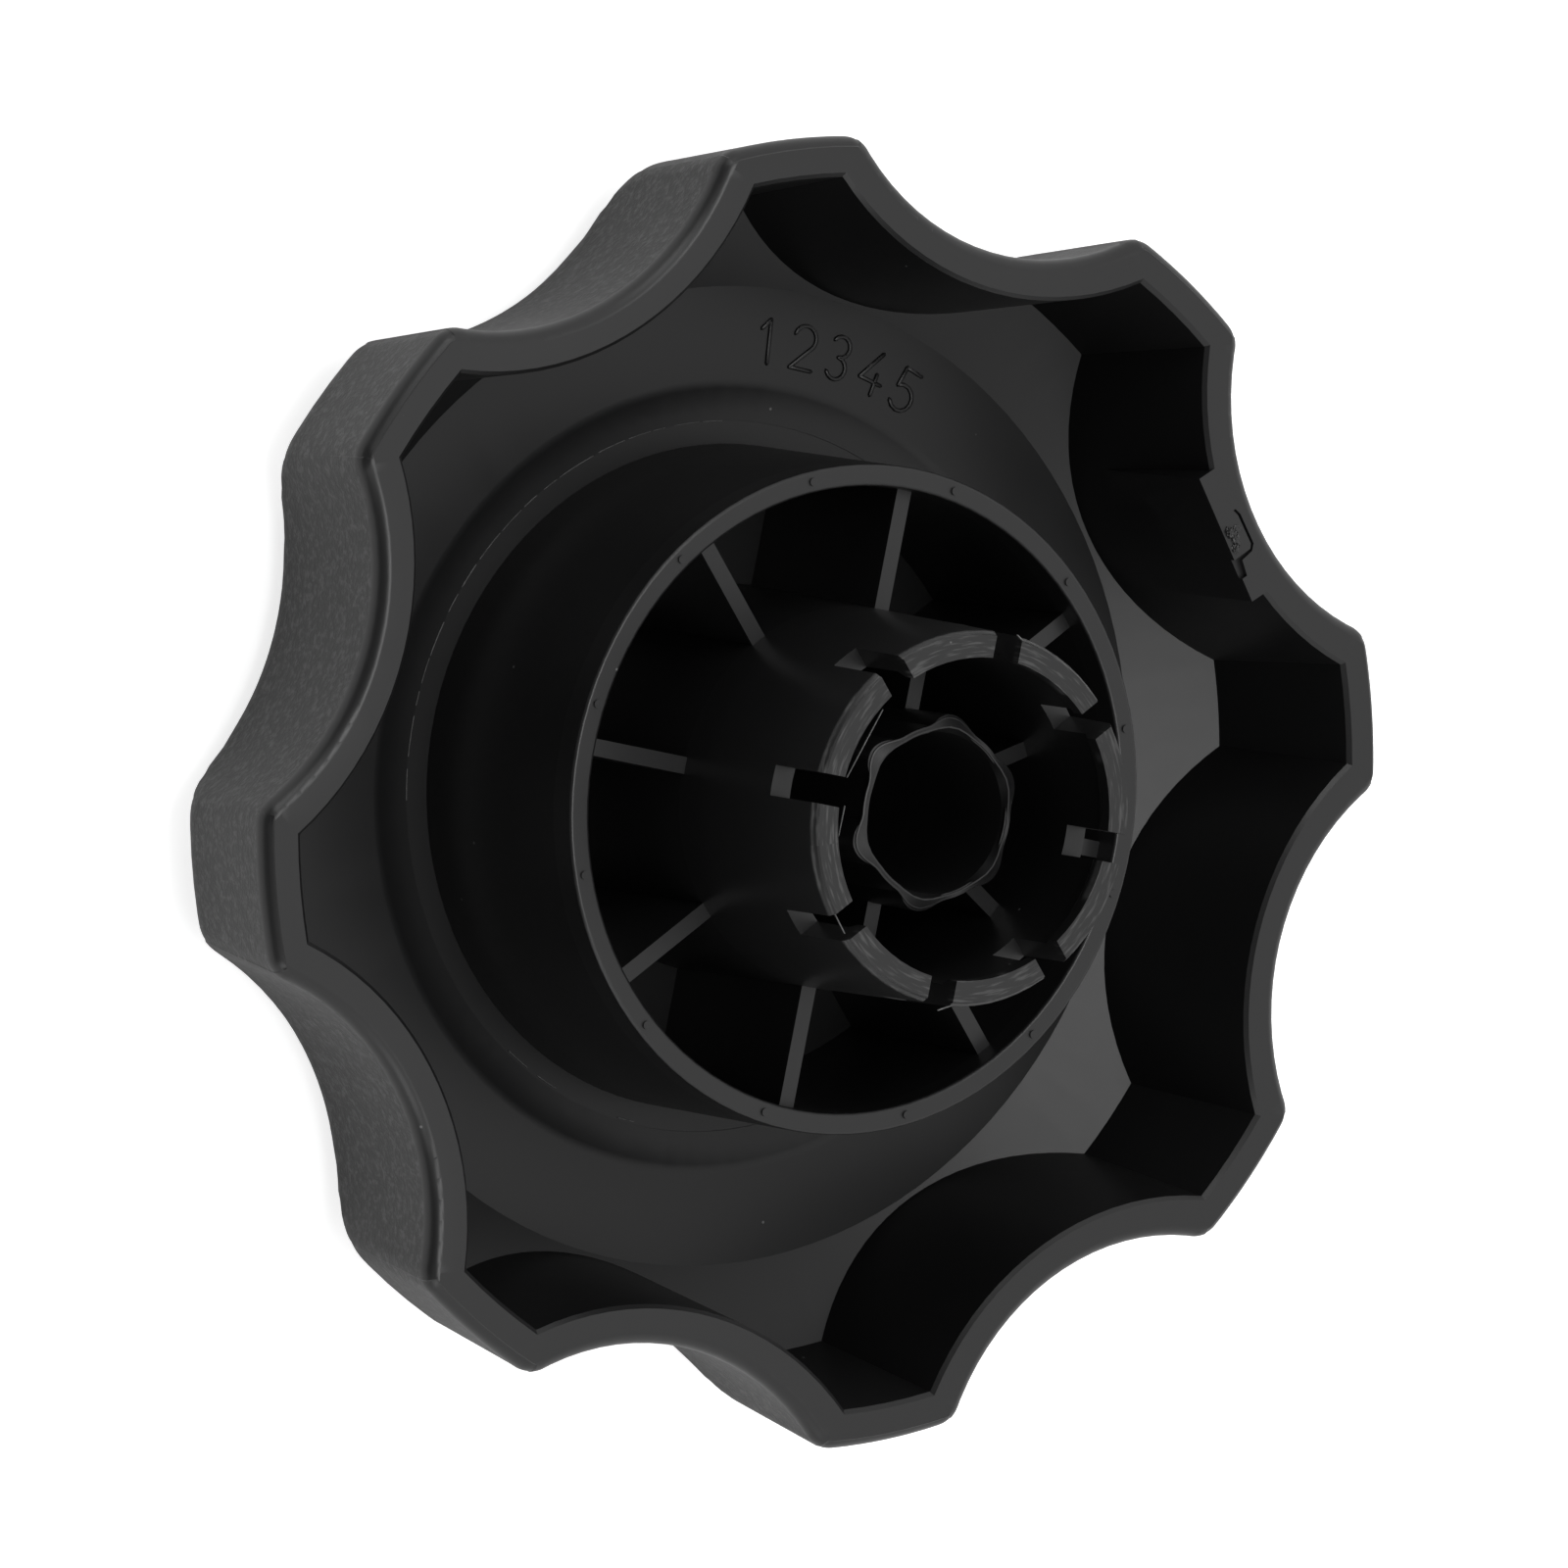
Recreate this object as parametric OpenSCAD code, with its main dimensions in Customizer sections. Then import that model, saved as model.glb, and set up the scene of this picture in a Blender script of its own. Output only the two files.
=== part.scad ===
// Hand knob with eight lobes: one moulding, seen from its open back with the front face down.
// Units are millimetres, +Z points out of the open side, the origin is the centre of the front face.

/* [Skirt] */
// Radius over the lobe tips, at the rim
tip_r = 45.05; // [42:0.05:48]
// Radius at the bottom of a scallop, at the rim
valley_r = 38.95; // [37.6:0.05:40]
// Radius of each scallop outside
scallop_r = 18.1; // [17:0.1:20]
// Radius of each scallop inside
inner_scallop_r = 22; // [21:0.1:23]
// Height of the rim above the front face
rim_h = 18.5; // [16:0.1:21]
// Thickness of the skirt at the rim
wall = 2.85; // [2.2:0.05:3.2]
// Draft of the lobe walls outside, in degrees
lobe_draft = 7; // [5:0.1:8]
// Draft of the lobe walls inside, in degrees
inner_draft = 7.8; // [6:0.1:9]
// Draft of the scallop walls, in degrees
scallop_draft = 5.8; // [4.5:0.1:6.5]
// Rounding of the outer rim edge
rim_round = 1.2; // [0.7:0.05:1.3]
// Rounding of the upright edges of the lobes, at the rim
corner_round = 2.15; // [1.6:0.05:2.5]
// Rounding of the same edges at the level of the front face
corner_round_low = 3.2; // [2.6:0.1:4.2]
// Rounding between the lobe walls and the front cone
shoulder_r = 4.4; // [3.8:0.1:5.4]
// Small chamfer on the inner rim edge
edge_break = 0.3; // [0.2:0.05:0.4]

/* [Front wall] */
// Thickness of the front wall
web = 2.46; // [2.1:0.02:2.8]
// Radius of the flat front face
front_r = 34.6; // [33.8:0.1:35]
// Radius of the flat floor inside
floor_r = 34.2; // [33.4:0.1:34.3]
// Slope of the front cone, in degrees
cone_tilt = 23.5; // [21:0.5:25]

/* [Collar] */
// Outer radius of the collar at its rim
collar_r = 22.85; // [21.8:0.05:23.4]
// Thickness of the collar
collar_wall = 1.5; // [1.2:0.05:1.8]
// Height of the collar above the skirt rim
collar_rise = 1.83; // [0.5:0.05:3]
// Rounding of the collar rim
collar_round = 0.25; // [0.1:0.05:0.4]
// Depth of the ring step at the foot of the collar
step_depth = 0.66; // [0.4:0.02:0.8]
// Outer radius of the ring step
step_r = 24.85; // [24.3:0.05:25.3]
// Outer radius of the dished band
dish_r = 27.8; // [27:0.1:28.6]
// Number of small raised pips on the collar rim
pips = 12; // [6:1:16]
// Radius of a pip
pip_r = 0.28; // [0.2:0.02:0.36]

/* [Hub] */
// Radius of the hub at its top
hub_r = 12.6; // [12:0.1:13]
// Thickness of the hub
hub_wall = 1.4; // [1.2:0.05:1.6]
// Height of the finger tips above the front face
hub_h = 34.5; // [32:0.25:37]
// Number of snap fingers, with as many slots and outer ribs
fingers = 8; // [6:1:8]
// Width of the slots
slot_w = 2.05; // [1.4:0.05:2.6]
// Height of the slot floors above the front face
slot_z = 29; // [27:0.25:30]
// Inward lip of the fingers
lip = 0.4; // [0.2:0.05:0.5]
// Rounding of the outer edge of the finger tips
tip_round = 0.75; // [0.5:0.05:0.9]
// Thickness of the outer ribs
rib_w = 1.15; // [0.9:0.05:1.35]

/* [Tube] */
// Diameter of the bore
bore_d = 10.9; // [10:0.1:11.3]
// Thickness of the tube
tube_wall = 0.65; // [0.5:0.05:0.9]
// Height of the tube above the front face
tube_h = 30; // [27:0.25:31]
// Number of outer bumps, with as many inner ribs
bumps = 6; // [4:1:6]
// Radius of a bump
bump_r = 2.2; // [1.9:0.05:2.4]
// How far a bump stands out of the tube
bump_rise = 0.58; // [0.45:0.01:0.7]
// Width of the chamfer at the mouth of the bore
mouth = 0.35; // [0.2:0.05:0.4]
// Thickness of the inner ribs
inner_rib_w = 1.1; // [0.9:0.05:1.3]
// Height of the inner ribs above the front face
inner_rib_z = 24.5; // [22:0.25:26]

/* [Gate pad] */
// Half length of the pad on one scallop wall
pad_half = 4.93; // [4:0.1:5.4]
// Distance of the pad face from the axis
pad_x = 35.45; // [35:0.05:35.7]
// Half length of the cut gate mark in the pad
gate_half = 1.55; // [1.2:0.05:2]
// Width of the groove round the gate mark
gate_groove = 0.22; // [0.15:0.01:0.35]
// Depth of that groove
gate_depth = 0.4; // [0.2:0.05:0.8]

/* [Hidden] */
$fn = 96;
lobes = 8;
pitch = 360 / lobes;
rib_turn = 27.2;
bump_turn = 12.2;
pip_turn = 4.9;
over = 3;
t_lobe = tan(lobe_draft);
t_inner = tan(inner_draft);
t_scallop = tan(scallop_draft);
t_cone = tan(cone_tilt);
scallop_c = valley_r + scallop_r;
inner_scallop_c = valley_r - wall + inner_scallop_r;
inner_tip_r = tip_r - wall;
// part of a turn that a scallop's inner wall needs, so that two neighbours stay apart
sector = 84;
// share of a rounding radius at which its arc crosses the next face, so that the two never just touch
cross = 0.97;
// where the lobe wall would meet the front cone
foot_r = (tip_r - t_lobe * (rim_h + t_cone * front_r)) / (1 - t_lobe * t_cone);
foot_z = t_cone * (foot_r - front_r);
wall_n = [cos(lobe_draft), -sin(lobe_draft)];
cone_n = [sin(cone_tilt), -cos(cone_tilt)];
half_turn = (90 - cone_tilt - lobe_draft) / 2;
shoulder_n = (wall_n + cone_n) / (2 * cos(half_turn));
shoulder_c = [foot_r, foot_z] - shoulder_r / cos(half_turn) * shoulder_n;
rim_c = [tip_r - t_lobe * rim_round - rim_round / cos(lobe_draft), rim_h - 0.98 * rim_round];
// where the scallop wall would meet the front cone, measured from the scallop's own axis
valley_foot_z = t_cone * (scallop_c - scallop_r - t_scallop * rim_h - front_r)
    / (1 - t_cone * t_scallop);
valley_foot = [scallop_r + t_scallop * (rim_h - valley_foot_z), valley_foot_z];
valley_wall_n = [-cos(scallop_draft), -sin(scallop_draft)];
valley_cone_n = [-sin(cone_tilt), -cos(cone_tilt)];
valley_lip_x = scallop_r + t_scallop * rim_round + rim_round / cos(scallop_draft);
collar_z = rim_h + collar_rise;
collar_out = 0.42 / 18.6;
hub_out = 0.5 / 16;
bore_r = bore_d / 2;
tube_r = bore_r + tube_wall;
lip_r = hub_r - hub_wall - lip;
hub_in = hub_r - hub_wall;
tip_c = [hub_r - tip_round, hub_h - 0.98 * tip_round];
mouth_r = bore_r + mouth;
mouth_z = tube_h - 1.6 * (mouth + 0.5);

// point at a distance da along a line with normal na and db along one with normal nb, from a corner
function inset(p, na, nb, da, db) =
    let (k = na * nb, u = (da - k * db) / (1 - k * k), v = (db - k * da) / (1 - k * k))
    p - u * na - v * nb;
// radius of the rounding of an upright lobe edge at a depth below the rim
function edge_r(depth) = corner_round + (corner_round_low - corner_round) * depth / rim_h;
// centre of that rounding at the same depth
function edge_centre(depth) =
    let (a = tip_r - t_lobe * depth - cross * edge_r(depth),
         b = scallop_r + t_scallop * depth + cross * edge_r(depth),
         x = (scallop_c * scallop_c + a * a - b * b) / (2 * scallop_c))
    [x, sqrt(a * a - x * x)];

module body_profile() {
    // the straight lines end a hair inside the two circles, so that they cross them
    low_r = shoulder_r - 0.01;
    top_r = rim_round - 0.01;
    intersection() {
        union() {
            polygon([[0, 0], [front_r, 0], shoulder_c + low_r * cone_n, shoulder_c + low_r * wall_n,
                rim_c + top_r * wall_n, [rim_c[0], rim_h + 1], [0, rim_h + 1]]);
            translate(shoulder_c) circle(r = shoulder_r);
            translate(rim_c) circle(r = rim_round);
        }
        square([tip_r + 5, rim_h]);
    }
}

module scallop_profile() {
    low_c = inset(valley_foot, valley_wall_n, valley_cone_n, shoulder_r, cross * shoulder_r);
    top_c = [valley_lip_x, rim_h - cross * rim_round];
    low_wall = low_c + shoulder_r * valley_wall_n;
    top_wall = top_c - rim_round * [cos(scallop_draft), sin(scallop_draft)];
    difference() {
        polygon([[0, -over - shoulder_r], low_c + (over + 2 * shoulder_r) * valley_cone_n,
            low_c, low_wall, top_wall, top_c, top_c + [0, over + rim_round], [0, rim_h + over]]);
        translate(low_c) circle(r = shoulder_r);
        translate(top_c) circle(r = rim_round);
    }
}

module upright_edge_cutter() {
    c0 = edge_centre(0);
    c1 = edge_centre(rim_h);
    go = c1 - c0;
    turn = atan2(go[1], go[0]);
    lean = atan2(norm(go), rim_h);
    reach = norm([norm(go), rim_h]);
    grow = (edge_r(rim_h) - edge_r(0)) / reach;
    na = c0 / norm(c0);
    nb = ([scallop_c, 0] - c0) / norm([scallop_c, 0] - c0);
    translate([c0[0], c0[1], rim_h]) rotate([0, 0, turn]) rotate([0, -lean, 0]) rotate([0, 0, -turn])
        difference() {
            translate([0, 0, -reach - over]) linear_extrude(height = reach + 2 * over)
                polygon([[0, 0], 12 * na, 12 * (na + nb), 12 * nb]);
            translate([0, 0, -reach - over - 1]) cylinder(r1 = edge_r(rim_h) + grow * (over + 1),
                r2 = edge_r(0) - grow * (over + 1), h = reach + 2 * over + 2);
        }
}

module outside() {
    difference() {
        rotate_extrude() body_profile();
        for (i = [0 : lobes - 1]) rotate((i + 0.5) * pitch) {
            translate([scallop_c, 0, 0]) rotate_extrude() scallop_profile();
            upright_edge_cutter();
            mirror([0, 1, 0]) upright_edge_cutter();
        }
    }
}

module inside() {
    foot = (inner_tip_r - t_inner * (rim_h - web + t_cone * floor_r)) / (1 - t_inner * t_cone);
    lobe_top = inner_tip_r - t_inner * edge_break;
    // the scallops' chamfer starts a hair higher, so that no two edges lie at one height
    low = edge_break - 0.03;
    valley_top = inner_scallop_r + t_scallop * low;
    difference() {
        rotate_extrude() polygon([[0, web], [floor_r, web], [foot, web + t_cone * (foot - floor_r)],
            [lobe_top, rim_h - edge_break], [lobe_top + edge_break + 1, rim_h + 1], [0, rim_h + 1]]);
        for (i = [0 : lobes - 1]) rotate((i + 0.5) * pitch) translate([inner_scallop_c, 0, 0])
            rotate([0, 0, 180 - sector / 2]) rotate_extrude(angle = sector) polygon([[0, 0],
                [inner_scallop_r + t_scallop * rim_h, 0], [valley_top, rim_h - low],
                [valley_top - low - over, rim_h + over], [0, rim_h + over]]);
    }
}

module foot_groove() {
    dish_h = web - step_depth + 0.08;
    run = dish_r - step_r;
    rise = web - dish_h;
    sweep_r = (run * run + rise * rise) / (2 * rise);
    rotate_extrude() polygon([[collar_r - 1, web - step_depth], [step_r, web - step_depth],
        [step_r, web + 1], [collar_r - 1, web + 1]]);
    rotate_extrude() intersection() {
        polygon([[step_r - 0.2, web - step_depth], [dish_r + 1, web - step_depth],
            [dish_r + 1, web + 0.4], [step_r - 0.2, web + 0.4]]);
        translate([step_r, dish_h + sweep_r]) circle(r = sweep_r);
    }
}

module collar() {
    rotate_extrude() {
        polygon([[collar_r - collar_wall - 0.3, web - step_depth - 0.5],
            [collar_r + collar_out * (collar_z - web), web - step_depth - 0.5],
            [collar_r, collar_z - collar_round], [collar_r - collar_round, collar_z],
            [collar_r - collar_wall + collar_round, collar_z],
            [collar_r - collar_wall, collar_z - collar_round]]);
        translate([collar_r - collar_round, collar_z - collar_round]) circle(r = collar_round);
        translate([collar_r - collar_wall + collar_round, collar_z - collar_round])
            circle(r = collar_round);
    }
    for (i = [0 : pips - 1]) rotate(pip_turn + i * 360 / pips)
        translate([collar_r - collar_wall / 2, 0, collar_z - 0.2]) cylinder(r = pip_r, h = 0.35);
}

module hub() {
    difference() {
        rotate_extrude() intersection() {
            union() {
                polygon([[hub_in, web - 0.5], [hub_r + hub_out * (hub_h - web), web - 0.5],
                    tip_c + [tip_round - 0.01, 0], [tip_c[0], hub_h + 1], [lip_r, hub_h + 1],
                    [lip_r, hub_h - 1], [hub_in, hub_h - 1.7]]);
                translate(tip_c) circle(r = tip_round);
            }
            square([hub_r + 5, hub_h]);
        }
        for (i = [0 : fingers - 1]) rotate(rib_turn + i * 360 / fingers)
            translate([hub_r - hub_wall - 2, -slot_w / 2, slot_z]) cube([hub_wall + 5, slot_w, hub_h]);
    }
    for (i = [0 : fingers - 1]) rotate(rib_turn + i * 360 / fingers)
        translate([hub_r - 0.7, -rib_w / 2, web - 0.5])
            cube([collar_r - collar_wall / 2 - hub_r + 0.7, rib_w, rim_h - web + 0.5]);
}

module tube() {
    difference() {
        translate([0, 0, web - 0.5]) linear_extrude(height = tube_h - web + 0.5) union() {
            circle(r = tube_r);
            for (i = [0 : bumps - 1]) rotate(bump_turn + i * 360 / bumps)
                translate([tube_r + bump_rise - bump_r, 0]) circle(r = bump_r);
        }
        translate([0, 0, web]) cylinder(r = bore_r, h = tube_h);
        // the rim is a narrow ridge: a chamfer inside, and a slope that takes the tops of the bumps
        rotate_extrude() polygon([[0, mouth_z], [bore_r - 0.5, mouth_z], [mouth_r + 1, tube_h + 1.6],
            [0, tube_h + 1.6]]);
        rotate_extrude() polygon([[mouth_r - 0.9, tube_h + 0.6],
            [tube_r + 2, tube_h - 0.6 * (tube_r + 1.9 - mouth_r)], [tube_r + 2, tube_h + 3],
            [mouth_r - 0.9, tube_h + 3]]);
    }
    for (i = [0 : bumps - 1]) rotate(bump_turn + i * 360 / bumps)
        translate([tube_r - 0.2, -inner_rib_w / 2, web - 0.5])
            cube([hub_in + 0.7 - tube_r, inner_rib_w, inner_rib_z - web + 0.5]);
}

module gate_pad() {
    rotate(pitch / 2) translate([pad_x, -pad_half, web - 0.5])
        cube([valley_r - wall / 2 - pad_x, 2 * pad_half, rim_h - web + 0.5]);
}

module gate_mark() {
    side = pad_x + 1.75;
    rotate(pitch / 2) translate([0, 0, rim_h - gate_depth]) linear_extrude(height = gate_depth + 1)
        polygon([[pad_x - 1, -2 * gate_half], [pad_x + 0.45, -2 * gate_half],
            [pad_x + 0.6, -gate_half - gate_groove - 0.15], [side - 0.15, -gate_half - gate_groove],
            [side + gate_groove, -gate_half + 0.2], [side + gate_groove - 0.05, gate_half - 0.5],
            [side + gate_groove - 0.25, gate_half], [side - 0.25, gate_half],
            [side - 0.05, gate_half - 0.5], [side, -gate_half + 0.3], [side - 0.2, -gate_half],
            [pad_x - 1, -gate_half - 0.1]]);
}

module knob() {
    color("dimgray") difference() {
        union() {
            difference() {
                outside();
                inside();
                foot_groove();
            }
            collar();
            hub();
            tube();
            gate_pad();
        }
        gate_mark();
    }
}

knob();
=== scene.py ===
"""Adjustment knob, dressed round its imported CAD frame: finish, mould marks, stage and camera."""

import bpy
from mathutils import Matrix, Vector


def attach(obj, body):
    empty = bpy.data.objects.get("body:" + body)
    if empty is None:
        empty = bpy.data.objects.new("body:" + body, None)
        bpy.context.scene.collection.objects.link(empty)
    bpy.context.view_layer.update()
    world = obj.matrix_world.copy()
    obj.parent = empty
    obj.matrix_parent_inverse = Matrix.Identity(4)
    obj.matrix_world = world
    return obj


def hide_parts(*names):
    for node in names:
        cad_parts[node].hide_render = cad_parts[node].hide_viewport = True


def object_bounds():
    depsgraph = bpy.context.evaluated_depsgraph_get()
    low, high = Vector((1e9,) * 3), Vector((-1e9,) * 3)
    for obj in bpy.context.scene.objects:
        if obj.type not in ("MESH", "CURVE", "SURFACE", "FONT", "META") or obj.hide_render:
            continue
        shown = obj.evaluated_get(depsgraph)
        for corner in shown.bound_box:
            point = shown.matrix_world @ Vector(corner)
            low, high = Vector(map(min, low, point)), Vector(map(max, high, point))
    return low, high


bl_info = {
    "name": "Adjustment knob",
    "version": (1, 0, 0),
    "blender": (4, 5, 0),
    "location": "View3D > Sidebar > Knob",
    "description": "Dresses a moulded adjustment knob and sets its studio stage",
    "category": "Object",
}

import math
import random

import bmesh
import bpy
from bpy.props import (
    FloatProperty,
    FloatVectorProperty,
    IntProperty,
    PointerProperty,
    StringProperty,
)
from mathutils import Matrix, Vector

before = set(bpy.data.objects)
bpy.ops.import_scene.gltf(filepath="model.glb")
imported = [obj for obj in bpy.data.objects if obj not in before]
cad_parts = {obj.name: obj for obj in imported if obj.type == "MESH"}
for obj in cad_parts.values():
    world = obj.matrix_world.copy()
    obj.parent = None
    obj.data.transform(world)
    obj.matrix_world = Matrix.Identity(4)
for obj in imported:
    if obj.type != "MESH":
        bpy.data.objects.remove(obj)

MM = 0.001
CAD_LOW, CAD_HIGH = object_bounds()
# points of a mesh that lie closer than this are one point
SAME_POINT = 0.001 * MM
# edges that turn more than this stay sharp
CREASE = math.radians(20)
# how far the floor lies below the moulding's front face, so that the two don't share a plane
FLOOR_GAP = 0.05 * MM
# metres from the knob to each softbox, and the width and height of the two side ones
LAMP_DISTANCE = 0.8
SIDE_BOX = (0.2, 0.3)

# heights of the CAD moulding above its front face, and radii from its axis
RIM_Z = 18.5 * MM
FLOOR_Z = 2.46 * MM
STEP_Z = 1.80 * MM
STEP_R = 24.85 * MM
SKIRT_R = 30 * MM
TIP_Z = CAD_HIGH[2]

# the centre tube: its rim and the slope outside it, radii just outside its bore and just outside
# the tube, how far the rim draws in between two bumps, and its bumps, with their angles in degrees
TUBE_Z = 30 * MM
TUBE_SLOPE = 0.6
BORE_CLEAR_R = 5.5 * MM
TUBE_CLEAR_R = 7 * MM
TUBE_WAVE = 0.24 * MM
BUMP_START = 12.2
BUMP_PITCH = 60
BUMP_REACH = 21

# the skirt's outside: the lobes' and scallops' radii at the rim, the distance of a scallop's axis,
# their drafts, the tilt of the front cone, and the shoulder between wall and cone, with its centre
# on a lobe and in a scallop as the distance from the wall's own axis and the height
LOBES = 8
LOBE_PITCH = 2 * math.pi / LOBES
LOBE_R = 45.05 * MM
SCALLOP_R = 18.1 * MM
SCALLOP_X = 57.05 * MM
LOBE_DRAFT = math.radians(7)
SCALLOP_DRAFT = math.radians(5.8)
CONE_TILT = math.radians(23.5)
SHOULDER_R = 4.4 * MM
LOBE_SHOULDER = (39.179 * MM, 6.789 * MM)
SCALLOP_SHOULDER = (23.997 * MM, 3.981 * MM)

# greys of the painted highlight lines on the finger tips, of dust, and of the flash's painted
# highlight from dark to pale
TIP_HIGHLIGHT_GREY = (0.045, 0.045, 0.045, 1)
DUST_GREY = (0.1, 0.1, 0.1, 1)
FLASH_HIGHLIGHT_GREYS = (0.02, 0.02, 0.02, 1), (0.16, 0.16, 0.16, 1)


class PlasticSettings(bpy.types.PropertyGroup):
    colour: FloatVectorProperty(
        name="Colour",
        description="Base colour of the black plastic",
        subtype="COLOR",
        size=3,
        min=0,
        max=1,
        default=(0.0065, 0.0065, 0.0067),
    )
    grain_colour: FloatVectorProperty(
        name="Grain colour",
        description="Base colour of the grained outside",
        subtype="COLOR",
        size=3,
        min=0,
        max=1,
        default=(0.0045, 0.0045, 0.0046),
    )
    smooth_roughness: FloatProperty(
        name="Smooth roughness",
        description="Roughness of the smooth moulded surfaces",
        default=0.36,
        min=0,
        max=1,
    )
    grain_roughness: FloatProperty(
        name="Grain roughness",
        description="Roughness of the grained outside",
        default=0.5,
        min=0,
        max=1,
    )
    inner_gloss: FloatProperty(
        name="Inner gloss",
        description="Strength of the gloss inside the skirt, where 0.5 is that of bare plastic",
        default=0.36,
        min=0,
        max=1,
    )
    grain_size: FloatProperty(
        name="Grain size",
        description="Size of the grains on the outside",
        default=0.00028,
        min=0.00005,
        max=0.001,
        unit="LENGTH",
        precision=5,
    )
    grain_depth: FloatProperty(
        name="Grain depth",
        description="Depth of the grains on the outside",
        default=0.00008,
        min=0,
        max=0.0004,
        unit="LENGTH",
        precision=6,
    )
    corner_top: FloatProperty(
        name="Corner at the rim",
        description="Rounding of the upright edges of the lobes at the rim",
        default=0.00215,
        min=0.0005,
        max=0.003,
        unit="LENGTH",
        precision=5,
    )
    corner_low: FloatProperty(
        name="Corner at the front",
        description="Rounding of the upright edges of the lobes at the front",
        default=0.0032,
        min=0.0005,
        max=0.004,
        unit="LENGTH",
        precision=5,
    )
    smooth_band: FloatProperty(
        name="Smooth band",
        description="Height of the smooth band below the rim",
        default=0.00125,
        min=0,
        max=0.005,
        unit="LENGTH",
        precision=5,
    )


class MarkSettings(bpy.types.PropertyGroup):
    digits: StringProperty(name="Digits", description="Plain raised mould number", default="12345")
    height: FloatProperty(
        name="Digit height",
        description="Height of the digits",
        default=0.00305,
        min=0.001,
        max=0.006,
        unit="LENGTH",
        precision=5,
    )
    stroke: FloatProperty(
        name="Stroke width",
        description="Width of the raised strokes",
        default=0.00032,
        min=0.0001,
        max=0.001,
        unit="LENGTH",
        precision=5,
    )
    rise: FloatProperty(
        name="Rise",
        description="Height of the strokes above the floor of the skirt",
        default=0.00016,
        min=0.00005,
        max=0.0005,
        unit="LENGTH",
        precision=5,
    )
    radius: FloatProperty(
        name="Radius",
        description="Distance of the row of digits from the axis",
        default=0.0305,
        min=0.028,
        max=0.033,
        unit="LENGTH",
        precision=5,
    )
    pitch: FloatProperty(
        name="Pitch",
        description="Angle between one digit and the next",
        subtype="ANGLE",
        default=math.radians(5.65),
    )
    angle: FloatProperty(
        name="Angle",
        description="Direction of the middle of the row",
        subtype="ANGLE",
        default=math.radians(66.6),
    )


class FlashSettings(bpy.types.PropertyGroup):
    seed: IntProperty(
        name="Seed",
        description="Start value for the broken edges",
        default=7,
        min=0,
    )
    width: FloatProperty(
        name="Flash width",
        description="Width of the thin flash lines",
        default=0.00007,
        min=0.00002,
        max=0.0003,
        unit="LENGTH",
        precision=6,
    )
    rise: FloatProperty(
        name="Flash rise",
        description="Height of the thin flash lines",
        default=0.00009,
        min=0.00002,
        max=0.0003,
        unit="LENGTH",
        precision=6,
    )


class StageSettings(bpy.types.PropertyGroup):
    floor_colour: FloatVectorProperty(
        name="Floor colour",
        description="Colour of the plain floor",
        subtype="COLOR",
        size=3,
        min=0,
        max=1,
        default=(0.7, 0.7, 0.7),
    )
    floor_glow: FloatProperty(
        name="Floor glow",
        description="White added to the floor where the camera sees it",
        default=0.72,
        min=0,
        max=1,
    )
    floor_gloss: FloatProperty(
        name="Floor in gloss",
        description="White added to the floor where gloss mirrors it",
        default=0.08,
        min=0,
        max=1,
    )
    surround: FloatProperty(
        name="Surround",
        description="Strength of the white surround",
        default=0.9,
        min=0,
        max=2,
    )
    camera_side: FloatProperty(
        name="Camera side",
        description="Strength of the surround on the camera's side, which is left open and dark",
        default=0.12,
        min=0,
        max=2,
    )
    softbox: FloatProperty(
        name="Softbox",
        description="Power of the overhead softbox",
        default=2.75,
        min=0,
        max=20,
        unit="POWER",
    )
    softbox_length: FloatProperty(
        name="Softbox length",
        description="Long side of the overhead softbox",
        default=0.75,
        min=0.05,
        max=2,
        unit="LENGTH",
    )
    softbox_width: FloatProperty(
        name="Softbox width",
        description="Short side of the overhead softbox",
        default=0.28,
        min=0.05,
        max=2,
        unit="LENGTH",
    )
    side_light: FloatProperty(
        name="Side light",
        description="Power of each of the two softboxes beside the camera",
        default=0.5,
        min=0,
        max=20,
        unit="POWER",
    )
    camera_place: FloatVectorProperty(
        name="Camera place",
        description="Where the camera stands",
        subtype="TRANSLATION",
        size=3,
        default=(-0.3060255, 0.0872580, 0.5076698),
        precision=5,
    )
    camera_turn: FloatVectorProperty(
        name="Camera turn",
        description="Turn of the camera about X, Y and Z",
        subtype="EULER",
        size=3,
        default=(math.radians(-5.871967), math.radians(-32.150430), math.radians(-4.924758)),
    )
    lens: FloatProperty(
        name="Lens",
        description="Focal length on a 36 mm sensor",
        subtype="DISTANCE_CAMERA",
        default=197.0607,
        min=20,
        max=400,
    )


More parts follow.
